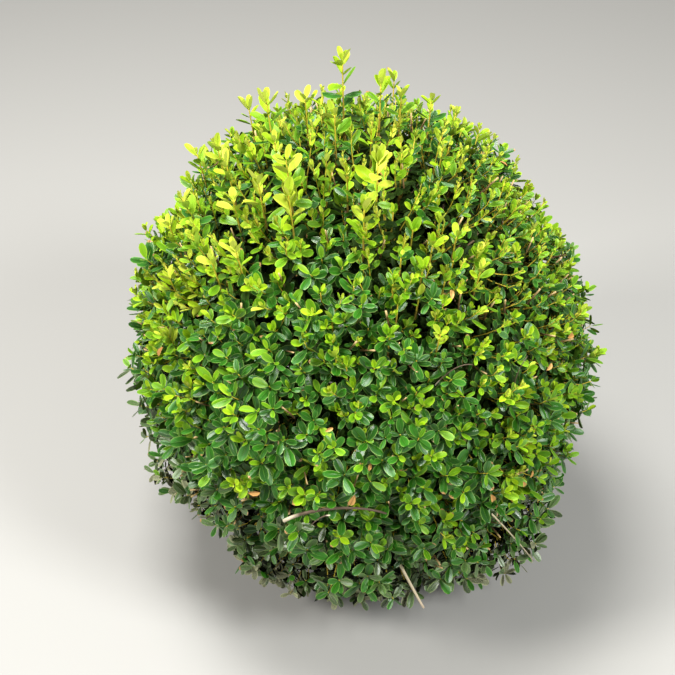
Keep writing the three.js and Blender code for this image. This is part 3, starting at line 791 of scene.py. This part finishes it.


# A leaf's colour: its own tint between two tones, a heart darkened as painted shade along the midrib, a
# paler foot and midrib, a rim that on all but the faded kind is a paler margin brightened further as a
# painted highlight, a scar on a few tips, dust on some kinds, and a back of its own, paler as an
# underside is and brightened further by painted light shining through
def leafMaterial(name, s):
    material, tree, shader = newMaterial(name, s["rough"], s["specular"])
    marks = tree.nodes.new("ShaderNodeGroup")
    marks.node_tree = leafMarks
    link(tree, mapNode(tree), marks.inputs[0])
    out = marks.outputs
    paint = mixNode(tree, out["Tint"], colour(*s["deep"]), colour(*s["bright"]))
    # the heart's tone is painted shade; on all but the faded kind the rim's tone is a paler margin
    # brightened further as a painted highlight
    for mask, share, tone in (("ShadedHeart", s["shadedHeartShare"], s["shadedHeart"]), ("Foot", s["footShare"], s["foot"]),
                              ("Veins", blade["veinShare"], s["rib"]), ("Rib", s["ribShare"], s["rib"]),
                              ("Rim", s["rimShare"], s["rim"])):
        paint = mixNode(tree, mathNode(tree, "MULTIPLY", out[mask], share), paint, colour(*tone))
    paint = mixNode(tree, out["Scar"], paint, colour(*blade["scar"]))
    # the back: paler as a leaf's underside is, and brightened further by painted light shining through the
    # blade
    paint = mixNode(tree, out["Back"], paint, colour(*s["back"]))
    if s.get("dust", 0) > 0:
        specks = mathNode(tree, "MULTIPLY", out["Specks"], s["dust"])
        paint = mixNode(tree, specks, paint, colour(*blade["dust"]))
    link(tree, paint, shader.inputs["Base Color"])
    rough = mathNode(tree, "MULTIPLY_ADD", out["Tint"], blade["tintRough"], s["rough"])
    rough = mathNode(tree, "MULTIPLY_ADD", out["Back"], blade["backRough"], rough)
    link(tree, rough, shader.inputs["Roughness"])
    height = mathNode(tree, "MULTIPLY", out["Bow"], blade["bowHeight"])
    height = mathNode(tree, "MULTIPLY_ADD", out["Veins"], blade["veinHeight"], height)
    groove = mathNode(tree, "MULTIPLY", out["Rib"], blade["ribHeight"])
    height = mathNode(tree, "SUBTRACT", height, groove)
    bumpNode(tree, shader, height, blade["bump"], blade["bumpDistance"])
    return material


# Each kind of leaf: colours as a screen shows them, and the share of each mark
leafKinds = {
    "leavesGolden": {
        "deep": (150, 180, 34), "bright": (198, 208, 68), "shadedHeart": (128, 162, 22), "shadedHeartShare": 0.5,
        "foot": (184, 192, 48), "footShare": 0.35, "rib": (206, 214, 90), "ribShare": 0.35,
        "rim": (218, 222, 112), "rimShare": 0.5, "back": (198, 210, 84), "rough": 0.5, "specular": 0.2},
    "leavesFresh": {
        "deep": (134, 174, 12), "bright": (174, 206, 32), "shadedHeart": (102, 152, 4), "shadedHeartShare": 0.45,
        "foot": (164, 192, 40), "footShare": 0.2, "rib": (182, 212, 58), "ribShare": 0.35,
        "rim": (212, 228, 78), "rimShare": 0.5, "back": (184, 206, 62), "rough": 0.42, "specular": 0.25},
    "leavesYoung": {
        "deep": (104, 154, 14), "bright": (146, 190, 28), "shadedHeart": (62, 116, 4), "shadedHeartShare": 0.55,
        "foot": (142, 182, 36), "footShare": 0.2, "rib": (164, 202, 58), "ribShare": 0.45,
        "rim": (204, 224, 74), "rimShare": 0.6, "back": (160, 192, 58), "rough": 0.36, "specular": 0.3},
    "leavesMid": {
        "deep": (62, 114, 8), "bright": (112, 166, 18), "shadedHeart": (28, 76, 2), "shadedHeartShare": 0.65,
        "foot": (108, 158, 28), "footShare": 0.2, "rib": (146, 190, 48), "ribShare": 0.5,
        "rim": (196, 218, 84), "rimShare": 0.6, "back": (130, 160, 36), "rough": 0.3, "specular": 0.4},
    "leavesDark": {
        "deep": (14, 66, 8), "bright": (46, 116, 18), "shadedHeart": (4, 38, 2), "shadedHeartShare": 0.7,
        "foot": (58, 114, 26), "footShare": 0.2, "rib": (96, 152, 42), "ribShare": 0.5,
        "rim": (168, 198, 104), "rimShare": 0.58, "back": (90, 128, 36), "rough": 0.28, "specular": 0.5},
    "leavesDull": {
        "deep": (20, 54, 14), "bright": (74, 120, 44), "shadedHeart": (8, 30, 6), "shadedHeartShare": 0.7,
        "foot": (90, 114, 50), "footShare": 0.3, "rib": (136, 158, 84), "ribShare": 0.5,
        "rim": (184, 198, 130), "rimShare": 0.58, "back": (100, 114, 56), "rough": 0.30, "specular": 0.7,
        "dust": 0.18},
    "leavesDusty": {
        "deep": (46, 58, 32), "bright": (154, 162, 124), "shadedHeart": (22, 30, 14), "shadedHeartShare": 0.7,
        "foot": (120, 124, 78), "footShare": 0.3, "rib": (160, 162, 108), "ribShare": 0.5,
        "rim": (198, 200, 142), "rimShare": 0.75, "back": (122, 124, 82), "rough": 0.5, "specular": 0.25,
        "dust": 0.5},
    "leavesFaded": {
        "deep": (178, 128, 66), "bright": (212, 170, 104), "shadedHeart": (150, 98, 48), "shadedHeartShare": 0.4,
        "foot": (180, 124, 50), "footShare": 0.3, "rib": (226, 186, 118), "ribShare": 0.5,
        "rim": (132, 84, 40), "rimShare": 0.6, "back": (196, 154, 92), "rough": 0.6, "specular": 0.2},
    # old leaves inside the crown, their colours darkened further as painted shade
    "leavesInner": {
        "deep": (20, 44, 8), "bright": (50, 78, 14), "shadedHeart": (14, 34, 6), "shadedHeartShare": 0.5,
        "foot": (52, 70, 20), "footShare": 0.3, "rib": (66, 92, 28), "ribShare": 0.4,
        "rim": (72, 92, 24), "rimShare": 0.4, "back": (52, 66, 18), "rough": 0.55, "specular": 0.2},
    # near-black leaves low inside the crown: painted shade
    "leavesShade": {
        "deep": (10, 20, 4), "bright": (26, 38, 10), "shadedHeart": (6, 14, 2), "shadedHeartShare": 0.5,
        "foot": (28, 34, 14), "footShare": 0.3, "rib": (32, 44, 16), "ribShare": 0.4,
        "rim": (34, 44, 16), "rimShare": 0.4, "back": (22, 28, 10), "rough": 0.6, "specular": 0.1},
}
kindNames = list(leafKinds)
fading = {
    "ages": [-1.4, -0.1, 1.1, 2.25], "soiledAge": 0.4, "dullTop": 0.24, "dullDepth": 0.15,
    "dustTop": 0.14, "dustLeft": 0.08, "dustDepth": 0.11, "dustMost": 0.85, "faded": 0.0002,
    "plainFrom": 6, "plainLow": 3, "shadeTop": 0.20, "shadeJitter": 0.03,
}

# Each leaf's kind by its age, by the dust near the ground, which lies higher on the left, and by
# chance where it has faded
higher = fading["dustLeft"] * np.clip(allLeaves["leftward"], 0, 1)
dull = (fading["dullTop"] + higher - allLeaves["height"]) / fading["dullDepth"]
dust = (fading["dustTop"] + higher - allLeaves["height"]) / fading["dustDepth"]
grown = allLeaves["age"] > fading["soiledAge"]
kindOf = np.digitize(allLeaves["age"], fading["ages"])
for kind, share in (("leavesDull", dull), ("leavesDusty", dust)):
    soiled = dice.random(len(share)) < np.clip(share, 0, 1) * fading["dustMost"]
    kindOf = np.where(soiled & grown, kindNames.index(kind), kindOf)
kindOf = np.where(dice.random(len(dust)) < fading["faded"], kindNames.index("leavesFaded"), kindOf)
# Low down from the fourth pair, and elsewhere from the seventh, a shoot's leaves join the old leaves
# inside: those under a jittered height take the near-black leavesShade colours, painted shade, and the
# rest the dark leavesInner colours, old leaves darkened further as painted shade
low = allLeaves["height"] < fading["shadeTop"]
plain = allLeaves["rank"] >= np.where(low, fading["plainLow"], fading["plainFrom"])
outer = pick(allLeaves, plain)
insideLeaves = joined([outer] + innerLeaves, outer)
shadeTop = fading["shadeTop"] + dice.normal(0, fading["shadeJitter"], len(insideLeaves["height"]))
shaded = insideLeaves["height"] < shadeTop
for index, (name, finish) in enumerate(leafKinds.items()):
    material = leafMaterial(name, finish)
    if name in ("leavesInner", "leavesShade"):
        chosen, shape = pick(insideLeaves, shaded == (name == "leavesShade")), plainLeaf
    else:
        chosen, shape = pick(allLeaves, (kindOf == index) & ~plain), fullLeaf
    if name == "leavesFaded":
        lodged = fadedLeaves()
        chosen = joined([chosen, lodged], lodged)
    count = len(chosen["size"])
    parts = max(1, math.ceil(count / shape["most"]))
    for part in range(parts):
        piece = leafPiece(name + "ABCDE"[part], pick(chosen, slice(part, None, parts)), shape)
        onPlant(piece, material, foliageNodes)
    print(name, count, "leaves in", parts, "pieces")


youngBark = {"rough": 0.6, "specular": 0.4, "mottleScale": 30, "mottle": 0.5, "bump": 0.4,
             "bumpDistance": 0.0003}

# The colours at the foot and at the tip, and where along the stem the change begins and ends
barkTones = {
    "shootStems": ((144, 116, 52), (206, 184, 56), 0.2, 0.6),
    "twigBark": ((104, 88, 68), (128, 108, 78), 0.0, 1.0),
    "dryWood": ((222, 210, 182), (84, 68, 52), 0.08, 0.20),
    "paleWood": ((196, 186, 150), (206, 188, 162), 0.0, 1.0),
    "clippedWood": ((120, 92, 58), (206, 176, 122), 0.55, 0.9),
}


# Young bark from its place on the map: from the foot's colour to the tip's, with a mottled border
def stemMaterial(name):
    foot, tip, begin, end = barkTones[name]
    material, tree, shader = newMaterial(name, youngBark["rough"], youngBark["specular"])
    split = tree.nodes.new("ShaderNodeSeparateXYZ")
    link(tree, mapNode(tree), split.inputs[0])
    change = tree.nodes.new("ShaderNodeMapRange")
    change.inputs["From Min"].default_value = begin
    change.inputs["From Max"].default_value = end
    link(tree, split.outputs[0], change.inputs["Value"])
    noise = noiseNode(tree, mapNode(tree), youngBark["mottleScale"])
    mottle = mathNode(tree, "MULTIPLY_ADD", noise, youngBark["mottle"], -youngBark["mottle"] / 2)
    share = mathNode(tree, "ADD", change.outputs[0], mottle, clamp=True)
    link(tree, mixNode(tree, share, colour(*foot), colour(*tip)), shader.inputs["Base Color"])
    bumpNode(tree, shader, noise, youngBark["bump"], youngBark["bumpDistance"])
    return material


shootStem = stemMaterial("shootStems")
twigBark = stemMaterial("twigBark")
stems = tubePiece("shootStems", [
    (crownShoots, shoots["radius"], shoots["tipRadius"], *tubeCounts["shoots"]),
    (leadShoots, leaders["radius"], leaders["tipRadius"], *tubeCounts["leaders"])])
onPlant(stems, shootStem, foliageNodes)

# Dry twigs caught in the crown and pale stems low on its face: azimuth, elevation and depth at both
# ends, then both radii
dryTwigs = np.array([
    (-106, 3, -0.007, -84, 4.6, 0.006, 0.0018, 0.0010),
    (-96, 7, -0.009, -100, 3.5, -0.009, 0.0007, 0.0004),
    (-70, 34, 0.020, -62, 37, -0.004, 0.0007, 0.0004),
    (-50, 24, 0.020, -47, 34, -0.005, 0.0008, 0.0004),
])
paleStems = np.array([
    (-59, -2, 0.004, -37, -34, -0.004, 0.0009, 0.0005),
    (-80, -19, 0.030, -74, -28, -0.012, 0.0017, 0.0012),
])
loose = {"outward": 0.12, "dryRise": 0.75, "paleRise": 0.05, "clearance": 0.006}


# Each one bows out of the crown and up between its ends
def looseWood(name, rows, material, rise):
    start = below(compass(rows[:, 0], rows[:, 1]), rows[:, 2], loose["clearance"])
    end = below(compass(rows[:, 3], rows[:, 4]), rows[:, 5], loose["clearance"])
    ahead = unit(end - start)
    bow = loose["outward"] * unit(compass(rows[:, 0], rows[:, 1])) + rise * up
    curves = (start, end, unit(ahead + bow), unit(ahead - bow))
    piece = tubePiece(name, [(curves, rows[:, 6], rows[:, 7], *tubeCounts["loose"])])
    onPlant(piece, material, foliageNodes)


looseWood("dryTwigs", dryTwigs, stemMaterial("dryWood"), loose["dryRise"])
looseWood("paleStems", paleStems, stemMaterial("paleWood"), loose["paleRise"])

clipped = {
    "count": 380, "nudge": 0.6, "lowest": -0.35, "lift": 0.5, "sway": 0.45, "length": 0.024, "bow": 0.3,
    "depths": (0.006, 0.012), "radius": 0.00085, "radiusSpread": (0.8, 1.3), "taper": 0.9,
}


# The ends of old twigs where the shears have cut them, standing just inside the crown's face
def clippedEnds():
    ways = goldenWays(clipped["count"], clipped["nudge"], clipped["lowest"])
    heads = growth(ways, clipped["lift"], clipped["sway"])
    end = below(ways, dice.uniform(*clipped["depths"], len(ways)))
    curves = (end - heads * clipped["length"], end, unit(heads - clipped["bow"] * ways), heads)
    thick = clipped["radius"] * dice.uniform(*clipped["radiusSpread"], len(ways))
    return curves, thick, thick * clipped["taper"], *tubeCounts["clipped"]


clippedWood = stemMaterial("clippedWood")
onPlant(tubePiece("clippedEnds", [clippedEnds()]), clippedWood, foliageNodes)

innerWood = tubePiece("twigs", [
    (twigs, wood["twigRadius"], wood["twigTip"], *tubeCounts["twigs"]),
    (spurs, wood["twigRadius"], wood["twigTip"], *tubeCounts["twigs"]),
    (branches, wood["branchRadius"], wood["twigRadius"] * wood["branchEnd"], *tubeCounts["branches"])])
onPlant(innerWood, twigBark, foliageNodes)
print("stems and twigs made")


oldBark = {
    "rough": 0.85, "specular": 0.3, "stretch": (1, 1, 0.22), "crackScale": 260, "crackWidth": 5,
    "mottleScale": 90, "mottleDetail": 5, "mottleHeight": 0.5, "dark": (96, 80, 60),
    "light": (150, 134, 108), "crack": (62, 50, 38), "bump": 0.6, "bumpDistance": 0.0008,
}


# The stem's and boughs' bark: cracks drawn out upwards, over a mottled grey brown
def barkMaterial():
    material, tree, shader = newMaterial("barkWood", oldBark["rough"], oldBark["specular"])
    place = tree.nodes.new("ShaderNodeTexCoord").outputs["Object"]
    stretch = tree.nodes.new("ShaderNodeMapping")
    stretch.inputs["Scale"].default_value = oldBark["stretch"]
    link(tree, place, stretch.inputs["Vector"])
    cracks = tree.nodes.new("ShaderNodeTexVoronoi")
    cracks.feature = "DISTANCE_TO_EDGE"
    cracks.inputs["Scale"].default_value = oldBark["crackScale"]
    link(tree, stretch.outputs[0], cracks.inputs["Vector"])
    mottle = noiseNode(tree, place, oldBark["mottleScale"], oldBark["mottleDetail"])
    ridges = mathNode(tree, "MULTIPLY", cracks.outputs["Distance"], oldBark["crackWidth"], clamp=True)
    paint = mixNode(tree, mottle, colour(*oldBark["dark"]), colour(*oldBark["light"]))
    paint = mixNode(tree, ridges, colour(*oldBark["crack"]), paint)
    link(tree, paint, shader.inputs["Base Color"])
    height = mathNode(tree, "MULTIPLY_ADD", mottle, oldBark["mottleHeight"], ridges)
    bumpNode(tree, shader, height, oldBark["bump"], oldBark["bumpDistance"])
    return material


stemShape = {
    "radius": 0.015, "flare": 0.011, "flareHeight": 0.013, "ribs": 5, "ribDepth": 0.3, "taper": 0.12,
    "rings": 44, "bunching": 1.2, "sides": 60, "dome": 0.006, "domeRings": 5,
    "relief": 0.0007, "cleanFoot": 0.002, "furrowTurns": (13, 7, 4), "furrowClimbs": (90, 120, 300),
    "wander": 3, "fineShare": 0.5,
}


# Rings up the leaning stem: a taper plus a ribbed flare that dies away upwards, with furrows cut by
# sines that wander round the stem, closed flat at the ground and by a low dome in the fork
def stemPiece():
    s = stemShape
    height = np.linspace(0, 1, s["rings"]) ** s["bunching"] * wood["forkHeight"]
    turn = np.arange(s["sides"]) * 2 * math.pi / s["sides"]
    h, t = np.meshgrid(height, turn, indexing="ij")
    flare = s["flare"] * np.exp(-h / s["flareHeight"]) * (1 + s["ribDepth"] * np.cos(s["ribs"] * t))
    turns, climbs = s["furrowTurns"], s["furrowClimbs"]
    furrows = np.sin(turns[0] * t + s["wander"] * np.sin(climbs[0] * h))
    furrows = furrows * np.sin(turns[1] * t - climbs[1] * h + 1)
    furrows = furrows + s["fineShare"] * np.sin(climbs[2] * h + turns[2] * t)
    radius = s["radius"] * (1 - s["taper"] * h / wood["forkHeight"]) + flare
    radius = radius + s["relief"] * furrows * np.clip(h / s["cleanFoot"], 0, 1)
    x = fork[0] * h / wood["forkHeight"] + radius * np.cos(t)
    y = fork[1] * h / wood["forkHeight"] + radius * np.sin(t)
    points = np.stack([x, y, h], -1).reshape(-1, 3)
    inward = np.arange(1, s["domeRings"])[:, None] / s["domeRings"]
    dome = np.stack([
        fork[0] + (1 - inward) * radius[-1] * np.cos(turn),
        fork[1] + (1 - inward) * radius[-1] * np.sin(turn),
        wood["forkHeight"] + s["dome"] * np.sqrt(inward) + 0 * turn], -1).reshape(-1, 3)
    points = np.concatenate([points, dome, [[0, 0, 0], fork + up * s["dome"]]])
    rings = s["rings"] + s["domeRings"] - 1
    k = np.arange(s["sides"])
    n = (k + 1) % s["sides"]
    foot, peak, last = len(points) - 2, len(points) - 1, (rings - 1) * s["sides"]
    caps = np.concatenate([np.stack([n, k, 0 * k + foot], -1),
                           np.stack([last + k, last + n, 0 * k + peak], -1)])
    return makeMesh("mainStem", points, np.concatenate([ringWalls(rings, s["sides"]), caps]))


bark = barkMaterial()
onPlant(stemPiece(), bark, ["main_stem"])


# Each wave's turns round the bough, and its climb with every step
boughShape = {
    "tipShare": 0.8, "relief": 0.06, "ripple": 0.05, "waves": [(5, 0.6), (2, 0.35), (1, 0.9)],
}


# The seven boughs as one mesh: fine rings along the solids' curves, roughened by the product of two
# waves and a third
def boughPiece():
    s = boughShape
    steps, sides = tubeCounts["boughs"]
    points, triangles, _ = tubeArrays(boughs, wood["boughRadius"], wood["boughTip"] * s["tipShare"], steps,
                                      sides)
    grid = points.reshape(len(boughNodes), steps + 1, sides, 3)
    centre = grid.mean(axis=2, keepdims=True)
    step = np.arange(steps + 1)[:, None]
    side = np.arange(sides)[None] * 2 * math.pi / sides
    first, second, third = [np.sin(turns * side + climb * step) for turns, climb in s["waves"]]
    rough = 1 + s["relief"] * first * second + s["ripple"] * third
    grid = centre + (grid - centre) * rough[None, :, :, None]
    return makeMesh("boughs", grid.reshape(-1, 3), triangles)


onPlant(boughPiece(), bark, boughNodes)
print("stem and boughs made")


studio = {
    "floorHalf": 6, "floor": (166, 165, 162), "floorRough": 0.8, "floorSpecular": 0.2,
    "air": (0.98, 0.98, 0.93, 1), "airStrength": 0.25,
}


def makeFloor():
    corners = np.array([[-1, -1, 0], [1, -1, 0], [1, 1, 0], [-1, 1, 0]]) * studio["floorHalf"]
    floor = makeMesh("floor", corners, np.array([[0, 1, 2], [0, 2, 3]]))
    material, tree, shader = newMaterial("floor", studio["floorRough"], studio["floorSpecular"])
    shader.inputs["Base Color"].default_value = colour(*studio["floor"])
    floor.data.materials.append(material)


makeFloor()

lights = [
    # name, place, aim and size in metres, power in watts, colour
    ("skyPanel", (-0.45, 0.1, 2.4), (0, 0, 0.3), 0.8, 68, (1.0, 0.99, 0.97)),
    ("leftPanel", (-1.7, -0.8, 1.7), (0, 0, 0.3), 0.5, 47, (1.0, 0.98, 0.94)),
    ("rightPanel", (1.4, -1.2, 2.0), (0, 0, 0.2), 0.6, 60, (0.99, 1.0, 0.99)),
]


def makeLights():
    for name, place, aim, size, power, tone in lights:
        data = bpy.data.lights.new(name, "AREA")
        data.size, data.energy, data.color = size, power, tone
        lamp = bpy.data.objects.new(name, data)
        back = unit(np.array(place, float) - np.array(aim, float))
        side = unit(np.cross(np.array([0.0, 1.0, 0.01]), back))  # no panel looks along this helper
        turn = np.eye(4)
        turn[:3, 0], turn[:3, 1], turn[:3, 2], turn[:3, 3] = side, np.cross(back, side), back, place
        lamp.matrix_world = Matrix(turn.tolist())
        bpy.context.scene.collection.objects.link(lamp)
    world = bpy.data.worlds.new("studio")
    bpy.context.scene.world = world
    world.use_nodes = True
    air = world.node_tree.nodes["Background"].inputs
    air["Color"].default_value, air["Strength"].default_value = studio["air"], studio["airStrength"]


makeLights()
bpy.context.scene.view_settings.view_transform = "Standard"
print("stage, camera and lights made")
